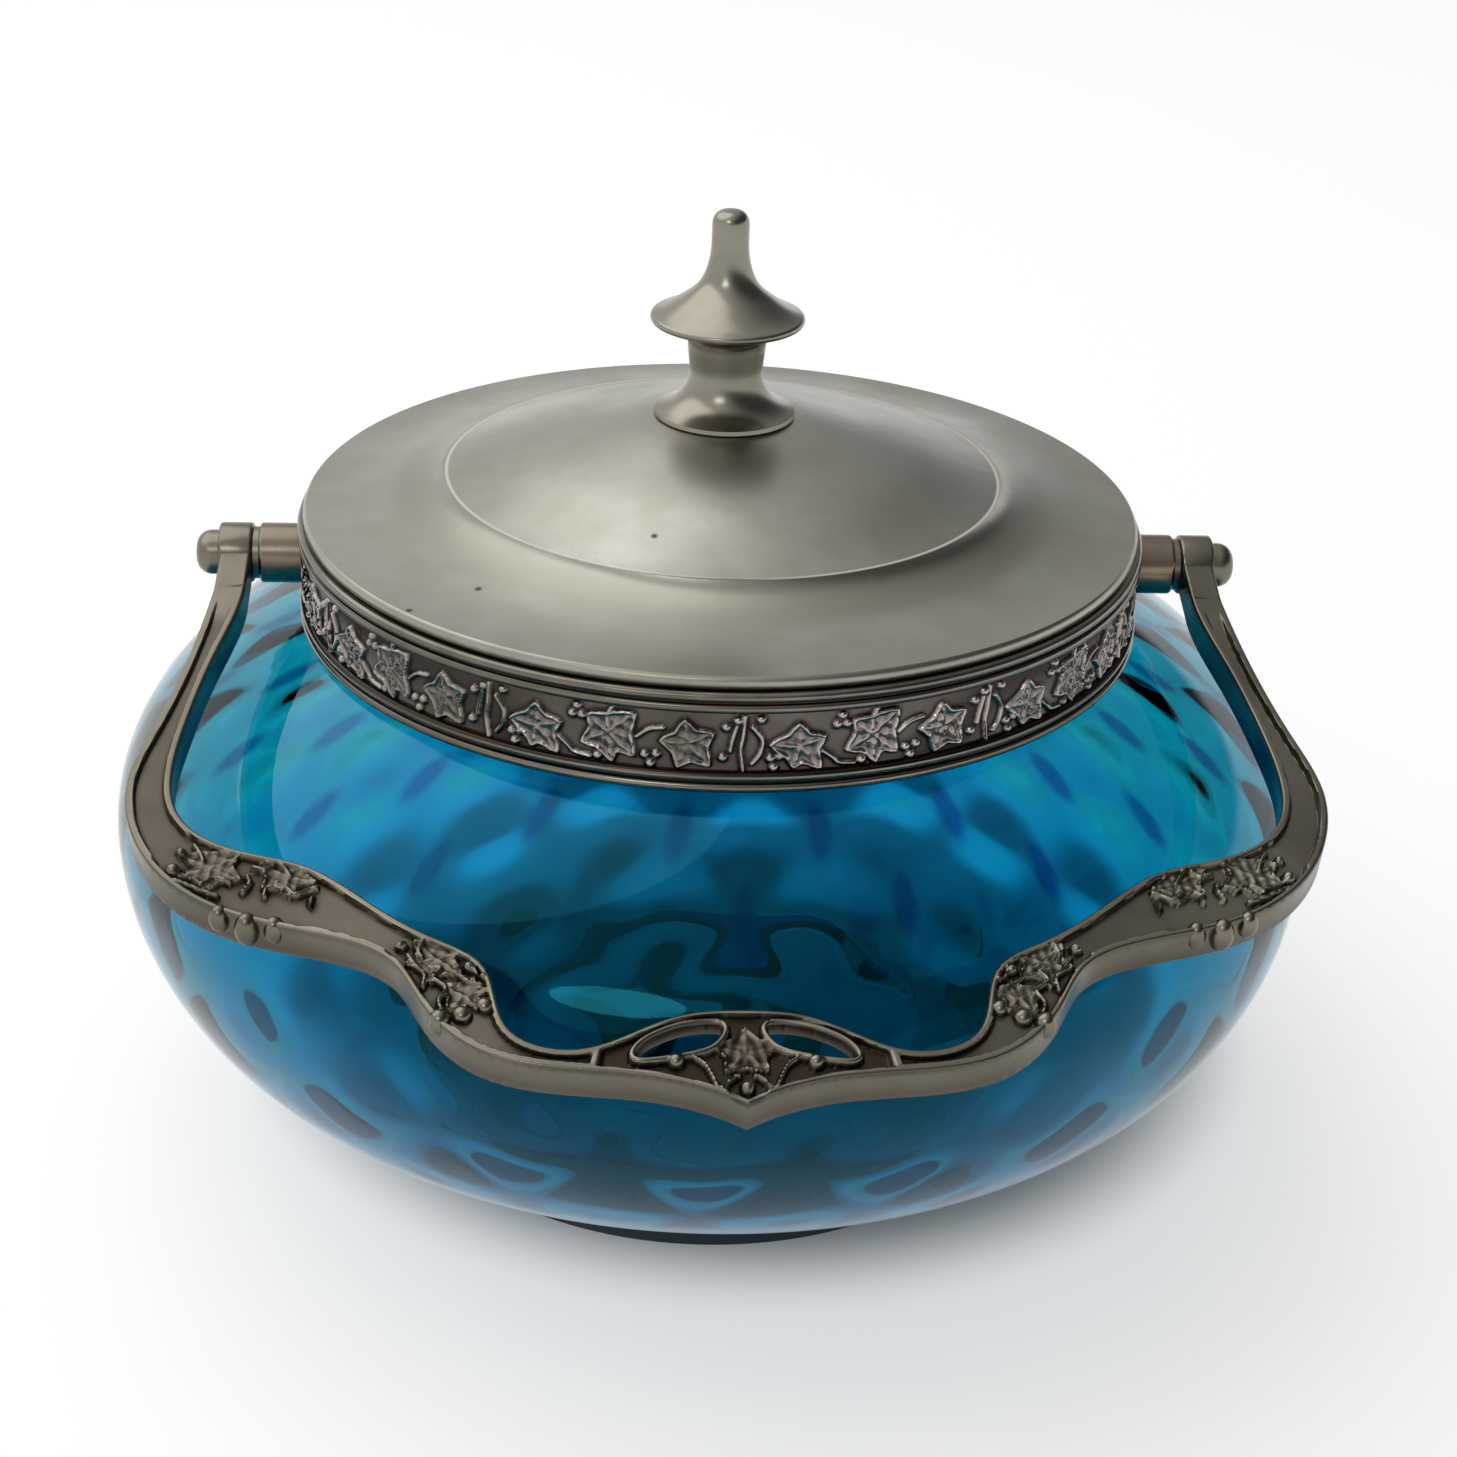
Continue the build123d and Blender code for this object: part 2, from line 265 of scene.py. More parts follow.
# centre, radius
small_beads = [
    ((76.6, 72.4), 1.15), ((75.9, 68.9), 0.8), ((56.9, 78.2), 1.25), ((54.8, 73.1), 0.9),
    ((44.0, 83.3), 1.0), ((45.2, 86.0), 1.05), ((36.0, 89.9), 0.85), ((34.0, 91.6), 0.7),
    ((0, 110.6), 1.05), ((9.0, 106.2), 1.2),
]
# centre, height over the middle plane, half width, half height
edge_beads = [
    ((62.2, 82.0), 0.9, 1.5, 2.2), ((65.9, 81.6), 0.6, 1.75, 2.7), ((69.7, 79.9), 0.9, 1.5, 2.2),
    ((33.7, 96.6), 1.6, 1.35, 1.7), ((36.6, 98.3), 1.6, 1.5, 1.9), ((39.5, 98.9), 1.4, 1.6, 2.1),
]

# Camera at the photograph's viewing angle
image_size = 1457
focal_pixels = 2782.5
sensor_width = 36.0
camera_distance = 450 * mm
camera_above = radians(26.49)
camera_turn = radians(-3.5)
camera_roll = radians(2.128)
aim_right = 2.4 * mm
aim_height = 64.13 * mm

# Studio
window_side = (-0.88, 0.12, 0.46)
room_dim = 0.12
room_bright = 1.05
room_edge_dim = -0.35
room_edge_bright = 0.6
backdrop_top = radians(12)
backdrop_soft = 0.06
floor_half = 4.0
floor_drop = 0.02 * mm
floor_albedo = 0.5
floor_glow = 0.58
# Painted shadow: near the jar the floor's glow drops to a low level, over these radii round a centre behind
# the jar
shade_glow = 0.09
painted_shadow_radii = (68 * mm, 92 * mm)
shade_centre = (8 * mm, 22 * mm, 0)


# ---------------- mesh helpers

def finish_mesh(name, mesh, material, body, smooth=True):
    """Link a mesh as a shaded piece that rides on a body."""
    piece = bpy.data.objects.new(name, mesh)
    bpy.context.scene.collection.objects.link(piece)
    mesh.materials.append(material)
    if smooth:
        mesh.shade_smooth()
    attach(piece, body)
    return piece


def grid_faces(rows, columns, wrap_rows=False, wrap_columns=False):
    """Quads of a grid of points numbered row by row."""
    row = np.arange(rows if wrap_rows else rows - 1)
    column = np.arange(columns if wrap_columns else columns - 1)
    low, left = np.meshgrid(row, column, indexing="ij")
    high, right = (low + 1) % rows, (left + 1) % columns
    corners = (low * columns + left, low * columns + right, high * columns + right, high * columns + left)
    return np.stack([c.ravel() for c in corners], axis=1)


def grid_mesh(name, points, faces):
    """Mesh from an array of points and an array of quads."""
    mesh = bpy.data.meshes.new(name)
    mesh.from_pydata(points.reshape(-1, 3).tolist(), [], faces.tolist())
    mesh.validate()
    mesh.update()
    return mesh


def spun_mesh(name, radius, height, columns, start=0.0):
    """Closed body of revolution, with radius and height by row, or by row and column."""
    turn = start + np.linspace(0, 2 * pi, columns, endpoint=False)
    radius = np.broadcast_to(np.reshape(radius, (len(radius), -1)), (len(radius), columns))
    height = np.broadcast_to(np.reshape(height, (len(height), -1)), (len(height), columns))
    points = np.stack([radius * np.sin(turn), -radius * np.cos(turn), height], axis=-1)
    faces = grid_faces(len(radius), columns, wrap_rows=True, wrap_columns=True)
    return grid_mesh(name, points, faces)


def tidy_normals(mesh):
    """Turn every face of a closed mesh outwards."""
    work = bmesh.new()
    work.from_mesh(mesh)
    bmesh.ops.recalc_face_normals(work, faces=work.faces)
    work.to_mesh(mesh)
    work.free()


def neighbour_sum(values, axis, wrap):
    """Sum of each value's two neighbours along an axis. Columns can go on round the body."""
    if axis and wrap:
        return np.roll(values, 1, 1) + np.roll(values, -1, 1)
    padded = np.pad(values, [(1, 1) if a == axis else (0, 0) for a in (0, 1)], mode="edge")
    size = padded.shape[axis]
    return padded.take(range(2, size), axis) + padded.take(range(size - 2), axis)


def rubbed(height, base, reach, passes=14, wrap=False):
    """How polished a relief is, 0 to 1: more than base on what stands up, less in the corners."""
    mean = height
    for _ in range(passes):
        for axis in (0, 1):
            mean = (2 * mean + neighbour_sum(mean, axis, wrap)) / 4
    return np.clip(base + (height - mean) / reach, 0, 1)


def store_share(mesh, values, name="relief"):
    """Keep a share at each point, which the material reads by this name."""
    layer = mesh.attributes.new(name, "FLOAT", "POINT")
    layer.data.foreach_set("value", np.asarray(values, np.float32).ravel())


def shade_by_angle(piece, sharp=35):
    """Smooth shading that keeps edges over this many degrees sharp."""
    for face in piece.data.polygons:
        face.use_smooth = True
    piece.data.set_sharp_from_angle(angle=radians(sharp))


# ---------------- relief helpers

def smooth_step(x):
    """0 below 0, 1 above 1, with a soft start and end."""
    x = np.clip(x, 0, 1)
    return x * x * (3 - 2 * x)


def line_distance(x, y, points):
    """Distance to a run of straight pieces through the points."""
    nearest = np.full(np.shape(x), np.inf)
    for (ax, ay), (bx, by) in zip(points[:-1], points[1:]):
        run_x, run_y = bx - ax, by - ay
        along = np.clip(((x - ax) * run_x + (y - ay) * run_y) / (run_x ** 2 + run_y ** 2), 0, 1)
        nearest = np.minimum(nearest, np.hypot(x - ax - along * run_x, y - ay - along * run_y))
    return nearest


def curve_through(points, steps=8):
    """Points on a smooth curve through the given ones."""
    points = np.array(points, float)
    ends = np.vstack([2 * points[0] - points[1], points, 2 * points[-1] - points[-2]])
    t = np.linspace(0, 1, steps, endpoint=False)[:, None]
    curve = []
    for a, b, c, d in zip(ends[:-3], ends[1:-2], ends[2:-1], ends[3:]):
        square, cube = 2 * a - 5 * b + 4 * c - d, 3 * b - a - 3 * c + d
        curve.append(0.5 * (2 * b + (c - a) * t + square * t**2 + cube * t**3))
    return np.vstack(curve + [points[-1:]])


def ridge(x, y, points, width, height):
    """Half-round raised line through the points."""
    gap = line_distance(x, y, curve_through(points)) / (width / 2)
    return height * np.sqrt(np.clip(1 - gap**2, 0, 1))


def bead(x, y, centre, radius, height):
    """Low dome."""
    gap = np.hypot(x - centre[0], y - centre[1]) / radius
    return height * np.sqrt(np.clip(1 - gap**2, 0, 1))


def ivy_leaf(x, y, centre, tips, height):
    """Ivy leaf with a pointed lobe to each tip: raised edge and veins, shallow hollows between. In mm."""
    arms = np.array(tips, float) - centre
    arms = arms[np.argsort(np.arctan2(arms[:, 1], arms[:, 0]))]
    turn, reach = np.arctan2(arms[:, 1], arms[:, 0]), np.hypot(*arms.T)
    angle = (np.arctan2(y - centre[1], x - centre[0]) - turn[0]) % (2 * pi) + turn[0]
    place = np.interp(angle, np.append(turn, turn[0] + 2 * pi), np.arange(len(tips) + 1))
    outline = np.interp(place, np.arange(len(tips) + 1), np.append(reach, reach[0]))
    outline = outline * (1 - leaf_dip * np.sin(pi * (place % 1)) ** 1.1)
    inside = outline - np.hypot(x - centre[0], y - centre[1])
    vein = np.full(np.shape(x), np.inf)
    for arm in arms:
        vein = np.minimum(vein, line_distance(x, y, [centre, np.array(centre) + leaf_vein * arm]))
    edge = np.exp(-(((inside - leaf_edge) / leaf_line) ** 2))
    midrib = 0.4 * np.exp(-((vein / leaf_line) ** 2))
    uneven = 0.12 * np.sin(2.9 * x + 1.3 * y) * np.sin(2.3 * y - 1.7 * x)
    chased = leaf_hollow + 0.5 * np.maximum(edge, midrib) + uneven
    return height * smooth_step(inside / leaf_line) * chased


# ---------------- materials

class Shader:
    """A material's node tree with short calls for the nodes used here."""

    def __init__(self, name, tree=None, output="OutputMaterial"):
        if tree is None:
            self.material = bpy.data.materials.new(name)
            self.material.use_nodes = True
            tree = self.material.node_tree
        self.tree = tree
        self.tree.nodes.clear()
        self.output = self.tree.nodes.new("ShaderNode" + output)

    def add(self, kind, **values):
        """A node with its properties and unlinked inputs set. Input names have _ for a space."""
        node = self.tree.nodes.new("ShaderNode" + kind)
        for key, value in values.items():
            name = key.replace("_", " ")
            if hasattr(node, key):
                setattr(node, key, value)
            else:
                node.inputs[name].default_value = value
        return node

    def link(self, source, target):
        """Connect an output to an input."""
        self.tree.links.new(source, target)

    def noise(self, scale, detail=3.0, roughness=0.5):
        """Noise in the part's own coordinates, in metres."""
        node = self.add("TexNoise", Scale=scale, Detail=detail, Roughness=roughness)
        self.link(self.add("TexCoord").outputs["Object"], node.inputs["Vector"])
        return node.outputs["Fac"]

    def ramp(self, source, low, high, low_value, high_value, soft=False):
        """source from low..high to low_value..high_value, held at the ends."""
        node = self.add("MapRange", From_Min=low, From_Max=high, To_Min=low_value, To_Max=high_value)
        if soft:
            node.interpolation_type = "SMOOTHSTEP"
        self.link(source, node.inputs["Value"])
        return node.outputs["Result"]

    def mix(self, share, first, second):
        """Colour mix. first and second are colours or outputs."""
        node = self.tree.nodes.new("ShaderNodeMix")
        node.data_type = "RGBA"
        for socket, value in ((node.inputs[0], share), (node.inputs[6], first), (node.inputs[7], second)):
            if isinstance(value, (tuple, float, int)):
                socket.default_value = (*value, 1.0) if isinstance(value, tuple) else value
            else:
                self.link(value, socket)
        return node.outputs[2]

    def math(self, operation, first, second=0.0):
        """One arithmetic step."""
        node = self.tree.nodes.new("ShaderNodeMath")
        node.operation = operation
        for socket, value in zip(node.inputs, (first, second)):
            if isinstance(value, (float, int)):
                socket.default_value = value
            else:
                self.link(value, socket)
        return node.outputs[0]


def near_heights(shader, heights, reach):
    """1 at any of these heights over the table, falling to 0 within the reach."""
    parts = shader.add("SeparateXYZ")
    shader.link(shader.add("TexCoord").outputs["Object"], parts.inputs["Vector"])
    near = 0.0
    for height in heights:
        gap = shader.math("ABSOLUTE", shader.math("SUBTRACT", parts.outputs["Z"], height))
        near = shader.math("MAXIMUM", near, shader.ramp(gap, 0.3 * reach, reach, 1.0, 0.0, soft=True))
    return near


def lid_pits_and_painted_light(shader, colour):
    """The lid's painted shade in the cove, painted highlight along the dome's edge and few small pits, laid
    over a colour.
    """
    place = shader.add("TexCoord").outputs["Object"]
    level = shader.add("Mapping", Scale=(1, 1, 0))
    shader.link(place, level.inputs["Vector"])
    away = shader.add("VectorMath", operation="LENGTH")
    shader.link(level.outputs["Vector"], away.inputs[0])
    # Painted shade in the cove and a painted highlight along the dome's edge
    for radius, reach, share, tone in (
        (cove_radius, cove_shade_reach, 1.0, nickel_worn_and_shade), (dome_edge, dome_highlight_reach, 0.7, nickel_painted_highlight),
    ):
        gap = shader.math("ABSOLUTE", shader.math("SUBTRACT", away.outputs["Value"], radius))
        colour = shader.mix(shader.ramp(gap, 0.2 * reach, reach, share, 0.0, soft=True), colour, tone)
    for pit in lid_pits:
        gap = shader.add("VectorMath", operation="DISTANCE")
        shader.link(place, gap.inputs[0])
        gap.inputs[1].default_value = pit
        near = shader.ramp(gap.outputs["Value"], *pit_radii, 0.9, 0.0)
        colour = shader.mix(near, colour, brown_patina)
    return colour


def plated_metal(name, bright, worn, roughness, grain, patina=None, grooves=(), wear_and_light=None):
    """Old plate: mottling, fine grain, worn tones, the lid's pits with painted shade and highlight where
    given, and patina in the relief's corners or in grooves.
    """
    shader = Shader(name)
    surface = shader.add("BsdfPrincipled", Metallic=1.0)
    cloud = shader.noise(cloud_scale, detail=4.0, roughness=0.6)
    colour = shader.mix(shader.ramp(cloud, 0.35, 0.68, 0.0, 1.0), bright, worn)
    speck = shader.noise(speck_scale, detail=2.0)
    colour = shader.mix(shader.ramp(speck, 0.62, 0.74, 0.0, 0.35), colour, worn)
    rough = shader.ramp(cloud, 0.3, 0.7, roughness - 0.05, roughness + 0.06)
    if wear_and_light:
        colour = wear_and_light(shader, colour)
    if grooves:
        colour = shader.mix(near_heights(shader, grooves, groove_reach), colour, patina)
    elif patina:
        # The share holds polish and patina, and on the handle's walls and beads painted light and shade as
        # well
        height = shader.add("Attribute", attribute_name="relief").outputs["Fac"]
        polished = shader.ramp(height, 0.15, 0.85, 0.0, 1.0)
        colour = shader.mix(polished, patina, colour)
        rough = shader.math("ADD", rough, shader.ramp(height, 0.1, 0.8, 0.16, -0.08))
    shader.link(colour, surface.inputs["Base Color"])
    shader.link(rough, surface.inputs["Roughness"])
    bump = shader.add("Bump", Strength=0.25, Distance=grain)
    shader.link(shader.noise(grain_scale, roughness=0.7), bump.inputs["Height"])
    dents = shader.add("Bump", Strength=0.35, Distance=dent_depth)
    shader.link(shader.noise(dent_scale, detail=2.0), dents.inputs["Height"])
    shader.link(bump.outputs["Normal"], dents.inputs["Normal"])
    shader.link(dents.outputs["Normal"], surface.inputs["Normal"])
    shader.link(surface.outputs["BSDF"], shader.output.inputs["Surface"])
    return shader.material


def blue_glass():
    """Cerulean glass that darkens with its thickness and towards its foot, partly by painted shade, and has
    painted shade streaks on the shoulder. Lamps reach through it.
    """
    shader = Shader("blue_glass")
    surface = shader.add(
        "BsdfPrincipled", Roughness=0.0, IOR=1.5, Transmission_Weight=1.0,
        Specular_Tint=glass_shine, Specular_IOR_Level=glass_shine_level,
    )
    parts = shader.add("SeparateXYZ")
    shader.link(shader.add("TexCoord").outputs["Object"], parts.inputs["Vector"])
    # Deeper tint low in the bowl: partly thicker glass, partly painted shade
    rise = shader.ramp(parts.outputs["Z"], *low_glass_tint_heights, 0.0, 1.0, soft=True)
    body = shader.mix(rise, low_glass_thick_and_shade, (1.0, 1.0, 1.0))
    # Painted shade: dark streaks on the shoulder
    body = shader.mix(shader.add("Attribute", attribute_name="streak_shade").outputs["Fac"], body, glass_streak_shade)
    foot = shader.add("Attribute", attribute_name="foot").outputs["Fac"]
    outside = shader.math("SUBTRACT", 1.0, shader.add("NewGeometry").outputs["Backfacing"])
    body = shader.mix(shader.math("MULTIPLY", foot, outside), body, foot_glass)
    shader.link(body, surface.inputs["Base Color"])
    waves = shader.add("Bump", Strength=0.5, Distance=glass_wave)
    shader.link(shader.noise(45.0, detail=1.0), waves.inputs["Height"])
    shader.link(waves.outputs["Normal"], surface.inputs["Normal"])
    clear = shader.add("BsdfTransparent", Color=lamp_share)
    rays = shader.add("LightPath")
    either = shader.math("MAXIMUM", rays.outputs["Is Shadow Ray"], rays.outputs["Is Diffuse Ray"])
    mix = shader.add("MixShader")
    shader.link(either, mix.inputs["Fac"])
    shader.link(surface.outputs["BSDF"], mix.inputs[1])
    shader.link(clear.outputs["BSDF"], mix.inputs[2])
    shader.link(mix.outputs["Shader"], shader.output.inputs["Surface"])
    inside = shader.add("VolumeAbsorption", Color=glass_depth, Density=glass_density)
    shader.link(inside.outputs["Volume"], shader.output.inputs["Volume"])
    return shader.material


def plaster():
    """Off-white plaster of the bedding ring, seen through the neck."""
    shader = Shader("plaster")
    surface = shader.add("BsdfPrincipled", Roughness=0.9)
    colour = shader.mix(shader.noise(300.0), plaster_light, plaster_dark)
    shader.link(colour, surface.inputs["Base Color"])
    bump = shader.add("Bump", Strength=0.6, Distance=0.2 * mm)
    shader.link(shader.noise(900.0, detail=4.0), bump.inputs["Height"])
    shader.link(bump.outputs["Normal"], surface.inputs["Normal"])
    shader.link(surface.outputs["BSDF"], shader.output.inputs["Surface"])
    return shader.material


# ---------------- glass bowl

def ellipse_section(half_width, drop, rise, low_radius, high_radius, steps):
    """Radius, height and inward normal up an ellipse section, with the arc length from the belly."""
    turn = np.linspace(-acos(low_radius / half_width), acos(high_radius / half_width), steps)
    tall = np.where(turn < 0, drop, rise)
    radius, height = half_width * np.cos(turn), belly_height + tall * np.sin(turn)
    normal = np.stack([-np.cos(turn) * tall, -np.sin(turn) * half_width], axis=1)
    normal /= np.linalg.norm(normal, axis=1)[:, None]
    arc = np.concatenate([[0], np.cumsum(np.hypot(np.diff(radius), np.diff(height)))])
    return radius, height, normal, arc - np.interp(belly_height, height, arc)


def optic_place(turn, arc):
    """Place in the diamond pattern: diamonds round the bowl, and diamonds up from optic_row."""
    around = (turn - optic_turn - optic_twist * (arc - optic_row)) * diamonds_around / (2 * pi)
    return around, (arc - optic_row) / diamond_height


def diamond_optic(turn, arc):
    """Height of the net of ribs: 0 in the middle of a diamond dimple, 1 on a rib."""
    around, up = optic_place(turn, arc)
    hollow = 1.0
    for slant in (1, -1):
        phase = around + slant * up
        hollow = hollow * (1 - (2 * (phase - np.floor(phase)) - 1) ** 2)
    return 1 - hollow ** optic_roundness


def optic_shade_streaks(turn, arc, radius):
    """Painted shade: dark leaf-shaped streaks, 0 to 1, where the ribs cross on the shoulder."""
    around, up = optic_place(turn, arc)
    row = np.round(2 * up)
    column = around - row / 2
    across = (column - np.round(column)) * 2 * pi * radius / diamonds_around
    along = (2 * up - row) * diamond_height / 2
    size = np.hypot(across / streak_half[0], along / streak_half[1])
    return smooth_step((1 - size) / streak_soft) * smooth_step((arc - streak_low) / streak_fade)


def underside_lift(radius):
    """How far the belly curves up from the ellipse as it nears the foot."""
    return foot_lift * smooth_step((lift_start - radius) / lift_reach)


def optic_inside(turn):
    """Rows of the bowl's inside, from the floor to the neck: radius, height and the painted shade streaks.
    """
    radius, height, inward, arc = ellipse_section(
        bowl_radius - wall, belly_drop - wall, shoulder_rise - wall,
        inside_start, neck_radius - wall, inner_rows,
    )
    height = height + underside_lift(radius + wall) * (height < belly_height)
    above = height > floor_height
    radius, height, inward, arc = radius[above], height[above], inward[above], arc[above]
    fade = smooth_step((arc - optic_foot) / optic_fade_low) * smooth_step((arc[-1] - arc) / optic_fade_high)
    relief = optic_relief * fade[:, None] * diamond_optic(turn[None, :], arc[:, None])
    shade_streaks = optic_shade_streaks(turn[None, :], arc[:, None], radius[:, None])
    return radius[:, None] + inward[:, :1] * relief, height[:, None] + inward[:, 1:] * relief, shade_streaks


def build_glass():
    """The bowl as one closed surface: foot, smooth outside, lip, optic inside and floor."""
    columns = diamonds_around * diamond_columns
    turn = np.linspace(0, 2 * pi, columns, endpoint=False)
    outer_r, outer_z, _, _ = ellipse_section(
        bowl_radius, belly_drop, shoulder_rise, foot_radius, neck_radius, outer_rows
    )
    outer_z = outer_z + underside_lift(outer_r) * (outer_z < belly_height)
    inner_r, inner_z, shade_streaks = optic_inside(turn)

    def flat(values):
        """Rows that stay level round the bowl."""
        return np.repeat(np.array(values)[:, None], columns, axis=1)

    base_r = [axis_radius, 0.5 * foot_radius, foot_radius - foot_round, foot_radius - 0.3 * foot_round]
    base_z = [0, 0, 0, 0.1 * foot_round]
    rim_r = [neck_radius, neck_radius - lip_round, neck_radius - wall + lip_round, neck_radius - wall]
    rim_z = [neck_top - lip_round, neck_top, neck_top, neck_top - lip_round]
    floor_r = [float(inner_r[0].mean()) - floor_edge, floor_middle, axis_radius]
    floor_z = [floor_height] * 3
    radius = np.vstack([flat(base_r), flat(outer_r), flat(rim_r), inner_r[::-1], flat(floor_r)])
    height = np.vstack([flat(base_z), flat(outer_z), flat(rim_z), inner_z[::-1], flat(floor_z)])
    mesh = spun_mesh("optic_glass_bowl", radius, height, columns)
    foot = np.zeros(radius.shape)
    foot[len(base_r) - 1:len(base_r) + 1] = 1
    store_share(mesh, foot, "foot")
    # Painted shade streaks, stored on the inside rows
    first = len(base_r) + len(outer_r) + len(rim_r)
    dark = np.zeros(radius.shape)
    dark[first:first + len(shade_streaks)] = shade_streaks[::-1]
    store_share(mesh, dark, "streak_shade")
    bowl = finish_mesh("optic_glass_bowl", mesh, blue_glass(), "jar")
    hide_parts("glass_bowl")


# ---------------- ivy frieze

def frieze_design(x, y):
    """Height, about 0 to 1, of one repeat of the ivy frieze. x and y in millimetres from its lower left."""
    height = np.zeros(x.shape)
    for centre, tips in frieze_leaves:
        height = np.maximum(height, ivy_leaf(x, y, centre, tips, height=1.0))
    for points in frieze_stems:
        height = np.maximum(height, ridge(x, y, points, width=0.75, height=0.75))
    for centre in frieze_berries:
        height = np.maximum(height, bead(x, y, centre, radius=0.72, height=0.95))
    return height


def build_frieze():
    """The collar's strip with the ivy in relief, repeated round it."""
    repeat = 2 * pi * band_radius / frieze_units
    rise = np.linspace(frieze_low, frieze_high, frieze_rows)
    x, y = np.meshgrid(np.arange(frieze_columns) * repeat / frieze_columns / mm, (rise - frieze_low) / mm)
    relief = np.maximum(frieze_design(x, y), frieze_design(x - repeat / mm, y))
    low_edge = smooth_step((y - frieze_margin) / frieze_slope)
    high_edge = smooth_step((y[-1, 0] - frieze_margin - y) / frieze_slope)
    relief = np.tile(relief * (low_edge * high_edge), (1, frieze_units))
    columns = relief.shape[1]
    radius = band_radius + frieze_relief * relief
    plain = np.full((1, columns), band_radius)
    inner = plain - band_sheet
    radius = np.vstack([plain, radius, plain, inner, inner])
    height = np.concatenate([[band_low], rise, [band_high, band_high, band_low]])
    mesh = spun_mesh("ivy_frieze", radius, height, columns, start=frieze_start)
    edge = np.full((1, columns), frieze_edge_polish)
    polish = np.clip(0.35 * relief + rubbed(relief, base=0.3, reach=1.3, passes=8, wrap=True), 0, 1)
    store_share(mesh, np.vstack([edge, polish, edge, edge, edge]))
    frieze = finish_mesh("ivy_frieze", mesh, frieze_plate, "jar")
    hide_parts("collar_band")


# ---------------- bail handle

def spline(points, start, end):
    """Smooth curve through the points with these end directions, as a function of the point number."""
    points = np.array(points, float)
    step = np.hypot(*np.diff(points, axis=0).T)
    count = len(points)
    system, target = np.eye(count), np.zeros((count, 2))
    target[0] = np.array(start) / np.hypot(*start)
    target[-1] = np.array(end) / np.hypot(*end)
    for i in range(1, count - 1):
        before, after = 1 / step[i - 1], 1 / step[i]
        system[i, i - 1:i + 2] = before, 2 * (before + after), after
        target[i] = 3 * ((points[i] - points[i - 1]) * before**2 + (points[i + 1] - points[i]) * after**2)
    slope = np.linalg.solve(system, target)

    def at(index):
        """Points of the curve at these point numbers, whole or between."""
        index = np.asarray(index, float)
        i = np.clip(index.astype(int), 0, count - 2)
        t, h = (index - i)[:, None], step[i][:, None]
        return (
            (2 * t**3 - 3 * t**2 + 1) * points[i] + (t**3 - 2 * t**2 + t) * h * slope[i]
            + (3 * t**2 - 2 * t**3) * points[i + 1] + (t**3 - t**2) * h * slope[i + 1]
        )

    return at


# Half outline of the casting in millimetres, from the centre to the eye, as in the CAD model
outer_points = [
    (0, 113.4), (11, 109.1), (23, 107.7), (33.8, 104.9), (42, 96.5), (46.3, 89.2), (53.7, 85.1), (66, 81.6),
    (77.3, 74.6), (83.4, 64.5), (84.9, 55), (82.6, 43.5), (78.9, 25.5), (77.2, 12),
]
inner_points = [
    (0, 97.5), (7.5, 98.2), (14.8, 101.6), (21.5, 104.3), (30, 101.5), (32.3, 95.5),
    (34.3, 89.4), (40.5, 85), (50.2, 77.9), (58.6, 71.6), (70.5, 67.6), (76.8, 62),
    (78.8, 53.5), (78.1, 43.5), (75.3, 27), (72.6, 11),
]
# Which point of the inner edge lies across from each point of the outer edge
outer_station = [0, 1, 2, 3, 4, 4.6, 5.2, 6, 6.5, 7, 8, 9, 10, 11, 12, 13]
inner_station = [0, 1.6, 3, 4, 5, 6, 7, 8, 9, 9.5, 10.35, 11, 12, 13, 14, 15]
pierced_opening = [(3.2, 100.3), (8, 100.6), (12.6, 103), (13.9, 105.6), (8.8, 105), (4.4, 103.4)]
hollow_back = [(17, 94), (17, 103.4), (13, 105.9), (8.5, 107.3), (4, 109), (-1, 111.1)]
hollow_corner = (-1, 94)
bracket_web = 2.0
arm_end = 2.6


def closed_curve(points, steps=10):
    """Smooth closed curve through the points."""
    around = [points[-1]] + points + points[:2]
    return curve_through(around, steps)[steps:-steps - 1]


def inside_curve(x, y, outline):
    """True where a point lies inside a closed outline."""
    inside = np.zeros(np.shape(x), bool)
    for (ax, ay), (bx, by) in zip(outline, np.roll(outline, -1, axis=0)):
        if ay != by:
            inside ^= ((ay > y) != (by > y)) & (x < (bx - ax) * (y - ay) / (by - ay) + ax)
    return inside


def casting_grid():
    """Half grid of (u, v) points, stations by columns, with each station's number and the two edge lines."""
    outer = spline(outer_points, start=(0.8, -0.5), end=(-0.1, -1))
    inner = spline(inner_points, start=(1, 0), end=(0, -1))
    fine = np.linspace(0, outer_station[-1], 4000)
    middle = (outer(fine) + inner(np.interp(fine, outer_station, inner_station))) / 2
    run = np.concatenate([[0], np.cumsum(np.hypot(*np.diff(middle, axis=0).T))])
    number = np.interp(np.arange(0, run[-1], casting_step), run, fine)
    outer_line, inner_line = outer(number), inner(np.interp(number, outer_station, inner_station))
    straight = np.arange(outer_line[-1, 1] - casting_step, arm_end, -casting_step)
    outer_line = np.vstack([outer_line, np.stack([np.full(straight.size, arm_outer), straight], axis=1)])
    inner_line = np.vstack([inner_line, np.stack([np.full(straight.size, arm_inner), straight], axis=1)])
    number = np.concatenate([number, np.full(straight.size, outer_station[-1])])
    width = np.hypot(*(outer_line - inner_line).T)
    arc = np.linspace(0, pi / 2, 5)
    edge = casting_round * (1 - np.cos(arc))
    share = edge[None, :] / width[:, None]
    between = np.linspace(0, 1, casting_columns)[None, 1:-1] * (1 - 2 * share[:, -1:]) + share[:, -1:]
    share = np.hstack([share, between, 1 - share[:, ::-1]])
    grid = outer_line[:, None, :] * (1 - share[..., None]) + inner_line[:, None, :] * share[..., None]
    return grid, number, outer_line, inner_line


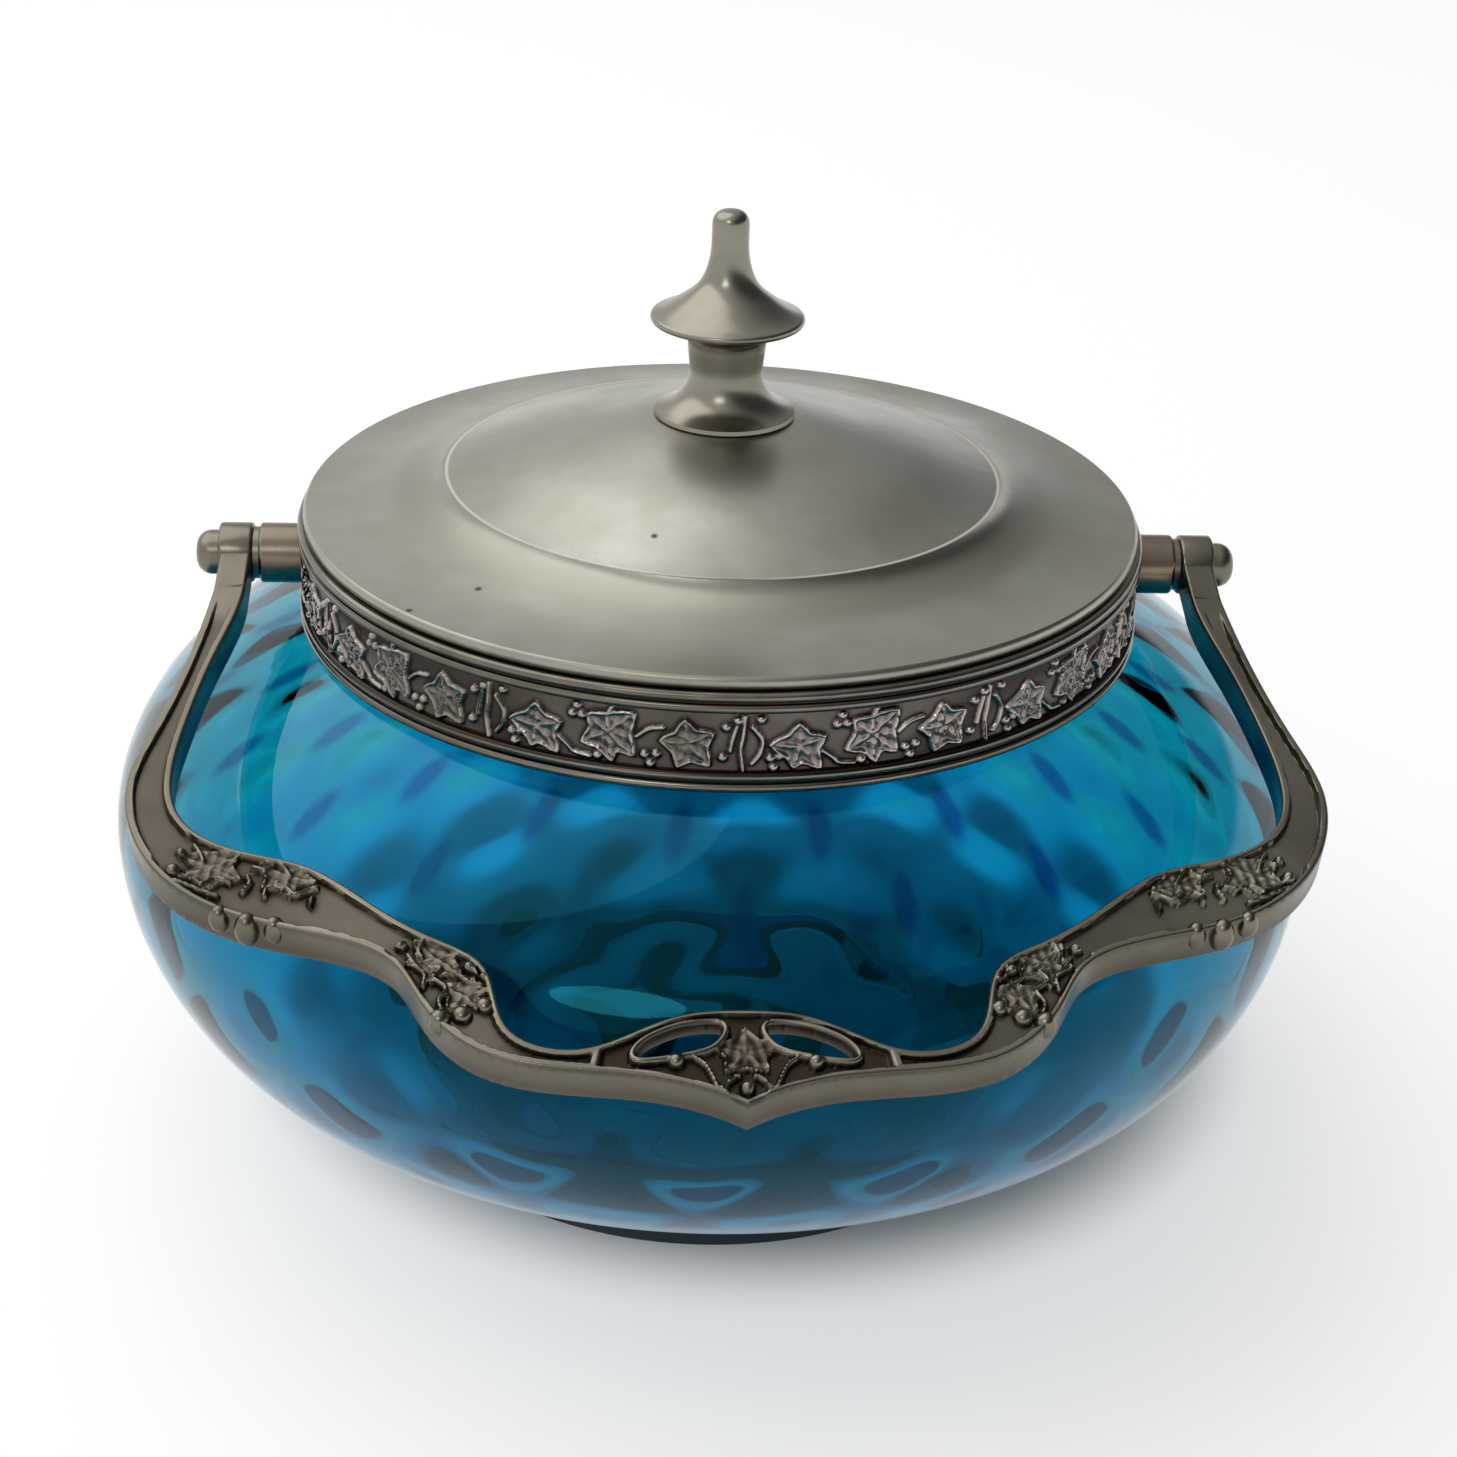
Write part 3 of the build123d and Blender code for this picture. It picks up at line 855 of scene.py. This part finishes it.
def edge_gap(u, v, outer_line, inner_line):
    """Distance to the nearer edge of the casting."""
    outer_gap = line_distance(u, v, outer_line[::outline_step])
    return np.minimum(outer_gap, line_distance(u, v, inner_line[::outline_step]))


def edge_round(gap):
    """Quarter circle of the rounded edges: 0 at the edge, the full radius further in."""
    near = np.minimum(gap, casting_round)
    return np.sqrt(np.maximum(casting_round**2 - (casting_round - near) ** 2, 0))


def stretch(number, first, last):
    """1 at the stations between two numbers, 0 outside them, with soft ends."""
    return smooth_step((number - first) / stretch_soft) * smooth_step((last - number) / stretch_soft)


def casting_ornament(u, v, opening):
    """Height of the leaves, lines, beads and the openings' rims over the sunk ground."""
    relief = np.zeros(u.shape)
    for middle, tips in casting_leaves:
        relief = np.maximum(relief, ivy_leaf(u, v, middle, tips, height=0.9))
    for points in knuckle_lines + scroll_lines + centre_lines:
        relief = np.maximum(relief, ridge(u, v, points, width=0.85, height=1.0))
    for middle, size in small_beads:
        relief = np.maximum(relief, bead(u, v, middle, size, bead_stand + size))
    around = line_distance(u, v, np.vstack([opening, opening[:1]]))
    rim = np.sqrt(np.clip(1 - ((around - rim_middle) / rim_half) ** 2, 0, 1))
    return np.maximum(relief, rim_height * rim)


def casting_front(u, v, number, gap, opening):
    """Height of the front over the middle plane: plain channels, and ornament on a sunk ground."""
    face = bail_half / mm
    ground = face - ground_depth
    centre = smooth_step((centre_end - number) / centre_soft)
    ornamented = np.maximum(stretch(number, *knuckle_stretch), stretch(number, *scroll_stretch))
    ornamented = np.maximum(ornamented, centre)
    channel = smooth_step((number - channel_first) / channel_first_soft)
    channel = channel * smooth_step((channel_last - number) / channel_last_soft) * (1 - ornamented)
    height = face - channel_depth * channel[:, None] * smooth_step((gap - channel_border) / channel_slope)
    ornament = ornamented[:, None] * smooth_step((gap - ground_border) / ground_slope)
    niche = bead(u, v, niche_centre, niche_radius, niche_depth) * centre[:, None]
    relief = np.where(ornament > 0.02, ground + casting_ornament(u, v, opening), 0)
    height = np.maximum(height - ground_depth * ornament - niche, relief)
    return height - (casting_round - edge_round(gap))


def casting_back(u, v, gap):
    """Height of the back over the middle plane, hollowed behind the bracket."""
    in_hollow = inside_curve(u, v, hollow_back + [hollow_corner]) * line_distance(u, v, hollow_back)
    back = -bail_half / mm + casting_round - edge_round(gap)
    return back + (2 * bail_half / mm - bracket_web) * smooth_step(in_hollow / hollow_slope)


def cut_opening(u, v, opening):
    """Cells of the half grid inside the opening. The points round them move onto its outline."""
    hole = inside_curve(u, v, opening)
    cell = hole[:-1, :-1] & hole[1:, :-1] & hole[:-1, 1:] & hole[1:, 1:]
    kept = np.zeros(hole.shape, int)
    for row, column in ((0, 0), (1, 0), (0, 1), (1, 1)):
        kept[row:row + cell.shape[0], column:column + cell.shape[1]] += ~cell
    for i, j in np.argwhere(hole & (kept > 0)):
        nearest = np.argmin(np.hypot(opening[:, 0] - u[i, j], opening[:, 1] - v[i, j]))
        u[i, j], v[i, j] = opening[nearest]
    return cell


def casting_rings(u, v, front, back, share):
    """A ring of points at each station: front, inner wall, back and outer wall."""

    def wall_points(column, first, last):
        """Points down or up one wall, between its two edges."""
        rows = [np.stack([u[:, column], v[:, column], first + (last - first) * s], axis=1) for s in share]
        return np.stack(rows, axis=1)

    return np.concatenate([
        np.stack([u, v, front], axis=-1), wall_points(-1, front[:, -1], back[:, -1]),
        np.stack([u, v, back], axis=-1)[:, ::-1], wall_points(0, back[:, 0], front[:, 0]),
    ], axis=1)


def casting_faces(cell, stations, columns):
    """Faces of the rings without the open cells, then the openings' walls and the two ends."""
    back_start = columns + wall_levels
    ring_size = 2 * back_start
    faces = grid_faces(stations, ring_size, wrap_columns=True)
    station, place = faces[:, 0] // ring_size, faces[:, 0] % ring_size
    on_front = place < columns - 1
    on_back = (place >= back_start) & (place < back_start + columns - 1)
    front_column = np.where(on_front, place, np.clip(back_start + columns - 2 - place, 0, columns - 2))
    open_cell = (on_front | on_back) & cell[station, front_column]
    faces = [tuple(f) for f in faces[~open_cell]]

    def front_id(i, j):
        """Number of a point of the front."""
        return i * ring_size + j

    def back_id(i, j):
        """Number of the point of the back behind it."""
        return i * ring_size + back_start + columns - 1 - j

    for i, j in np.argwhere(cell):
        for (di, dj), (a, b) in (
            ((-1, 0), ((i, j), (i, j + 1))), ((1, 0), ((i + 1, j + 1), (i + 1, j))),
            ((0, -1), ((i + 1, j), (i, j))), ((0, 1), ((i, j + 1), (i + 1, j + 1))),
        ):
            if not cell[i + di, j + dj]:
                faces.append((front_id(*a), front_id(*b), back_id(*b), back_id(*a)))
    faces.append(tuple(range(ring_size)))
    faces.append(tuple(range((stations - 1) * ring_size, stations * ring_size))[::-1])
    return [tuple(int(k) for k in f) for f in faces]


def casting_polish(u, front, share):
    """Polish of each ring: brown ground, most of all in the bracket, and painted shade that darkens the
    walls downwards.
    """
    bracket = smooth_step((bracket_half - np.abs(u)) / bracket_fade)
    arm = smooth_step((u - arm_start) / arm_fade)
    ground = smooth_step((bail_half / mm - ground_start - front) / ground_reach)
    brown = ground_brown + bracket_ground_brown * bracket - arm_ground_bright * arm
    polish = rubbed(front, front_polish, reach=1.5) - ground * brown - bracket_brown * bracket
    # Painted shade: each wall darker towards its lower edge
    wall_rows = np.tile(wall_polish - wall_painted_shade * share**2, (len(u), 1)) + arm_wall_bright * arm[:, :1]
    return np.concatenate([polish, wall_rows, np.full(u.shape, back_polish), wall_rows[:, ::-1]], axis=1)


def build_casting():
    """The cast bail: a half grid with its relief, mirrored and closed to one shell."""
    grid, number, outer_line, inner_line = casting_grid()
    opening = closed_curve(pierced_opening)
    u, v = grid[..., 0], grid[..., 1]
    cell = cut_opening(u, v, opening)
    gap = edge_gap(u, v, outer_line, inner_line)
    front = casting_front(u, v, number, gap, opening)
    back = casting_back(u, v, gap)
    u = np.vstack([-u[:0:-1], u])
    v, front, back = (np.vstack([a[:0:-1], a]) for a in (v, front, back))
    cell = np.vstack([cell[::-1], cell])
    share = np.linspace(0, 1, wall_levels + 2)[1:-1]
    points = bail_place(casting_rings(u, v, front, back, share).reshape(-1, 3))
    mesh = bpy.data.meshes.new("bail_casting")
    mesh.from_pydata(points.tolist(), [], casting_faces(cell, *u.shape))
    tidy_normals(mesh)
    mesh.update()
    store_share(mesh, casting_polish(u, front, share))
    casting = finish_mesh("bail_casting", mesh, handle_plate, "handle")
    shade_by_angle(casting, 48)
    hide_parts("bail_handle")


def bail_place(points):
    """Points (u, v, n) in millimetres of the handle's own plane, in the frame."""
    u, v, n = points.T * mm
    y = -v * cos(bail_angle) - n * sin(bail_angle)
    z = pivot_height - v * sin(bail_angle) + n * cos(bail_angle)
    return np.stack([u, y, z], axis=1)


def build_beads():
    """Round beads that hang over the outer edge, one mesh."""
    columns, rows, pole = 24, 14, 0.02
    turn = np.linspace(0, 2 * pi, columns, endpoint=False)
    fall = np.linspace(pole, pi - pole, rows)
    across = np.outer(np.sin(fall), np.cos(turn))
    along = np.outer(np.sin(fall), np.sin(turn))
    ball = np.stack([across, along, np.outer(np.cos(fall), np.ones(columns))], axis=-1)
    points, faces = [], []
    shell = [tuple(int(k) for k in f) for f in grid_faces(rows, columns, wrap_columns=True)]
    shell += [tuple(range(columns))[::-1], tuple(range((rows - 1) * columns, rows * columns))]
    for side in (-1, 1):
        for (u, v), low, half, tall in edge_beads:
            centre = np.array([side * u, v, low])
            first = sum(len(p) for p in points)
            points.append(bail_place((ball * np.array([half, half, tall]) + centre).reshape(-1, 3)))
            faces += [tuple(first + k for k in f) for f in shell]
    mesh = bpy.data.meshes.new("bail_beads")
    mesh.from_pydata(np.vstack(points).tolist(), [], faces)
    tidy_normals(mesh)
    mesh.update()
    # Painted light and shade: each bead lighter on top and darker underneath
    polish = bead_polish + bead_painted_light * ball[..., 2].ravel()
    store_share(mesh, np.tile(polish, len(points)))
    finish_mesh("bail_beads", mesh, handle_plate, "handle")


def build_eyes():
    """Bored eyes at the ends of the arms."""
    arc = np.linspace(0, pi / 2, 5)
    body, length = eye_radius - eye_round, eye_width - eye_round
    rise, fall = eye_round * np.sin(arc), eye_round * np.cos(arc)
    radius = np.concatenate([[eye_bore], body + rise, body + fall, [eye_bore]])
    along = np.concatenate([[0], eye_round - fall, length + rise, [eye_width]])
    for side, name in ((-1, "left"), (1, "right")):
        mesh = spun_mesh(f"bail_eye_{name}", radius, along, columns=72)
        place = Matrix.Translation((side * eye_inner, 0, pivot_height))
        mesh.transform(place @ Matrix.Rotation(side * pi / 2, 4, "Y"))
        tidy_normals(mesh)
        store_share(mesh, np.full(len(mesh.vertices), eye_polish))
        eye = finish_mesh(f"bail_eye_{name}", mesh, handle_plate, "handle", smooth=False)
        shade_by_angle(eye)


# ---------------- stage, light and camera

def build_stage():
    """Pale floor that keeps the shadow and glows white to the camera, gloss and glass, with a painted shadow
    where the glow drops by the jar.
    """
    mesh = bpy.data.meshes.new("floor")
    corners = [(-1, -1), (1, -1), (1, 1), (-1, 1)]
    mesh.from_pydata([(floor_half * x, floor_half * y, -floor_drop) for x, y in corners], [], [(0, 1, 2, 3)])
    floor = bpy.data.objects.new("floor", mesh)
    bpy.context.scene.collection.objects.link(floor)
    shader = Shader("pale_floor")
    card = shader.add("BsdfDiffuse", Color=(floor_albedo,) * 3 + (1,))
    glow = shader.add("Emission", Color=(1, 1, 1, 1))
    shift = shader.add("Mapping", Location=[-c for c in shade_centre])
    shader.link(shader.add("TexCoord").outputs["Object"], shift.inputs["Vector"])
    away = shader.add("VectorMath", operation="LENGTH")
    shader.link(shift.outputs["Vector"], away.inputs[0])
    # Painted shadow: less glow near the jar
    glow_with_painted_shadow = shader.ramp(away.outputs["Value"], *painted_shadow_radii, shade_glow, floor_glow, soft=True)
    shader.link(shader.math("MULTIPLY", background_rays(shader), glow_with_painted_shadow), glow.inputs["Strength"])
    both = shader.add("AddShader")
    shader.link(card.outputs["BSDF"], both.inputs[0])
    shader.link(glow.outputs["Emission"], both.inputs[1])
    shader.link(both.outputs["Shader"], shader.output.inputs["Surface"])
    mesh.materials.append(shader.material)


def background_rays(shader):
    """1 for the rays that show the pale background: camera, gloss and glass."""
    rays = shader.add("LightPath")
    seen = shader.math("MAXIMUM", rays.outputs["Is Camera Ray"], rays.outputs["Is Glossy Ray"])
    return shader.math("MAXIMUM", seen, rays.outputs["Is Transmission Ray"])


def build_world():
    """Soft room light, brighter on the left, over a white backdrop round the stage."""
    world = bpy.data.worlds.new("studio")
    bpy.context.scene.world = world
    world.use_nodes = True
    shader = Shader(world.name, world.node_tree, "OutputWorld")
    direction = shader.add("TexCoord").outputs["Generated"]
    towards = shader.add("VectorMath", operation="DOT_PRODUCT")
    towards.inputs[1].default_value = Vector(window_side).normalized()
    shader.link(direction, towards.inputs[0])
    room = shader.add("Background")
    light = shader.ramp(
        towards.outputs["Value"], room_edge_dim, room_edge_bright, room_dim, room_bright, soft=True
    )
    shader.link(light, room.inputs["Strength"])
    parts = shader.add("SeparateXYZ")
    shader.link(direction, parts.inputs["Vector"])
    top = sin(backdrop_top)
    low = shader.ramp(parts.outputs["Z"], top - backdrop_soft, top, 1.0, 0.0, soft=True)
    white = shader.add("Background", Color=(1, 1, 1, 1), Strength=1.0)
    mix = shader.add("MixShader")
    shader.link(shader.math("MULTIPLY", background_rays(shader), low), mix.inputs["Fac"])
    shader.link(room.outputs["Background"], mix.inputs[1])
    shader.link(white.outputs["Background"], mix.inputs[2])
    shader.link(mix.outputs["Shader"], shader.output.inputs["Surface"])


def add_softbox(name, place, width, depth, power, aim=(0, 0, 0.06)):
    """Oval soft lamp aimed at the jar."""
    lamp = bpy.data.lights.new(name, "AREA")
    lamp.shape = "ELLIPSE"
    lamp.size, lamp.size_y, lamp.energy = width, depth, power
    holder = bpy.data.objects.new(name, lamp)
    bpy.context.scene.collection.objects.link(holder)
    holder.location = place
    holder.rotation_euler = (Vector(aim) - Vector(place)).to_track_quat("-Z", "Y").to_euler()


def build_camera():
    """Camera where the photograph was taken from."""
    camera = bpy.data.objects.new("camera", bpy.data.cameras.new("camera"))
    bpy.context.scene.collection.objects.link(camera)
    camera.data.sensor_width = sensor_width
    camera.data.lens = focal_pixels * sensor_width / image_size
    turn = Matrix.Rotation(camera_turn, 4, "Z")
    tilt = Matrix.Rotation(pi / 2 - camera_above, 4, "X")
    back = Vector((0, -cos(camera_above), sin(camera_above)))
    place = turn @ (Vector((aim_right, 0, aim_height)) + back * camera_distance)
    camera.matrix_world = Matrix.Translation(place) @ turn @ tilt @ Matrix.Rotation(camera_roll, 4, "Z")
    bpy.context.scene.camera = camera


# ---------------- build

nickel = (0.40, 0.39, 0.34)
# Worn nickel tone, also the painted shade in the lid's cove
nickel_worn_and_shade = (0.30, 0.285, 0.235)
# Painted highlight on the lid's dome edge
nickel_painted_highlight = (0.92, 0.90, 0.82)
pewter = (0.235, 0.215, 0.17)
pewter_worn = (0.155, 0.14, 0.105)
collar_nickel = (0.25, 0.235, 0.195)
collar_worn = (0.13, 0.115, 0.09)
frieze_bright = (0.60, 0.53, 0.495)
brown_patina = (0.035, 0.026, 0.019)
lug_copper = (0.30, 0.235, 0.175)
plaster_light = (0.62, 0.58, 0.50)
plaster_dark = (0.42, 0.38, 0.32)
fine_grain = 0.03 * mm
fixing_grain = 0.04 * mm
cast_grain = 0.05 * mm

lid_plate = plated_metal("lid_plate", nickel, nickel_worn_and_shade, 0.31, fine_grain, wear_and_light=lid_pits_and_painted_light)
finial_plate = plated_metal("finial_plate", nickel_worn_and_shade, pewter, 0.24, fine_grain)
collar_plate = plated_metal(
    "collar_plate", collar_nickel, collar_worn, 0.17, fine_grain, patina=brown_patina, grooves=groove_heights
)
handle_plate = plated_metal("handle_plate", pewter, pewter_worn, 0.30, cast_grain, patina=brown_patina)
frieze_plate = plated_metal(
    "frieze_plate", frieze_bright, collar_nickel, 0.15, fine_grain, patina=brown_patina
)
lug_plate = plated_metal("lug_plate", lug_copper, collar_worn, 0.28, fine_grain)
fixings = plated_metal("fixings", pewter, pewter_worn, 0.30, fixing_grain)

node_material = {
    "lid_cover": lid_plate, "lid_bezel": lid_plate, "finial": finial_plate,
    "collar_band": collar_plate, "collar_rim": collar_plate, "collar_foot_moulding": collar_plate,
    "bail_handle": fixings, "bedding_ring": plaster(),
    "finial_stud": fixings, "finial_washer": fixings, "finial_nut": fixings,
}
for side in ("left", "right"):
    node_material[f"lug_{side}"] = lug_plate
    node_material[f"pivot_washer_{side}"] = fixings
    node_material[f"pivot_screw_{side}"] = fixings
for name, material in node_material.items():
    for holder in nodes[name].material_slots:
        holder.material = material

build_glass()
build_frieze()
build_casting()
build_beads()
build_eyes()
build_stage()
build_world()
add_softbox("key", place=(-0.6, 0.3, 1.1), width=1.6, depth=1.6, power=7.0)
add_softbox("front", place=(-0.36, -1.0, 0.83), width=0.5, depth=0.28, power=1.3)
build_camera()

bpy.context.scene.view_settings.view_transform = "Standard"
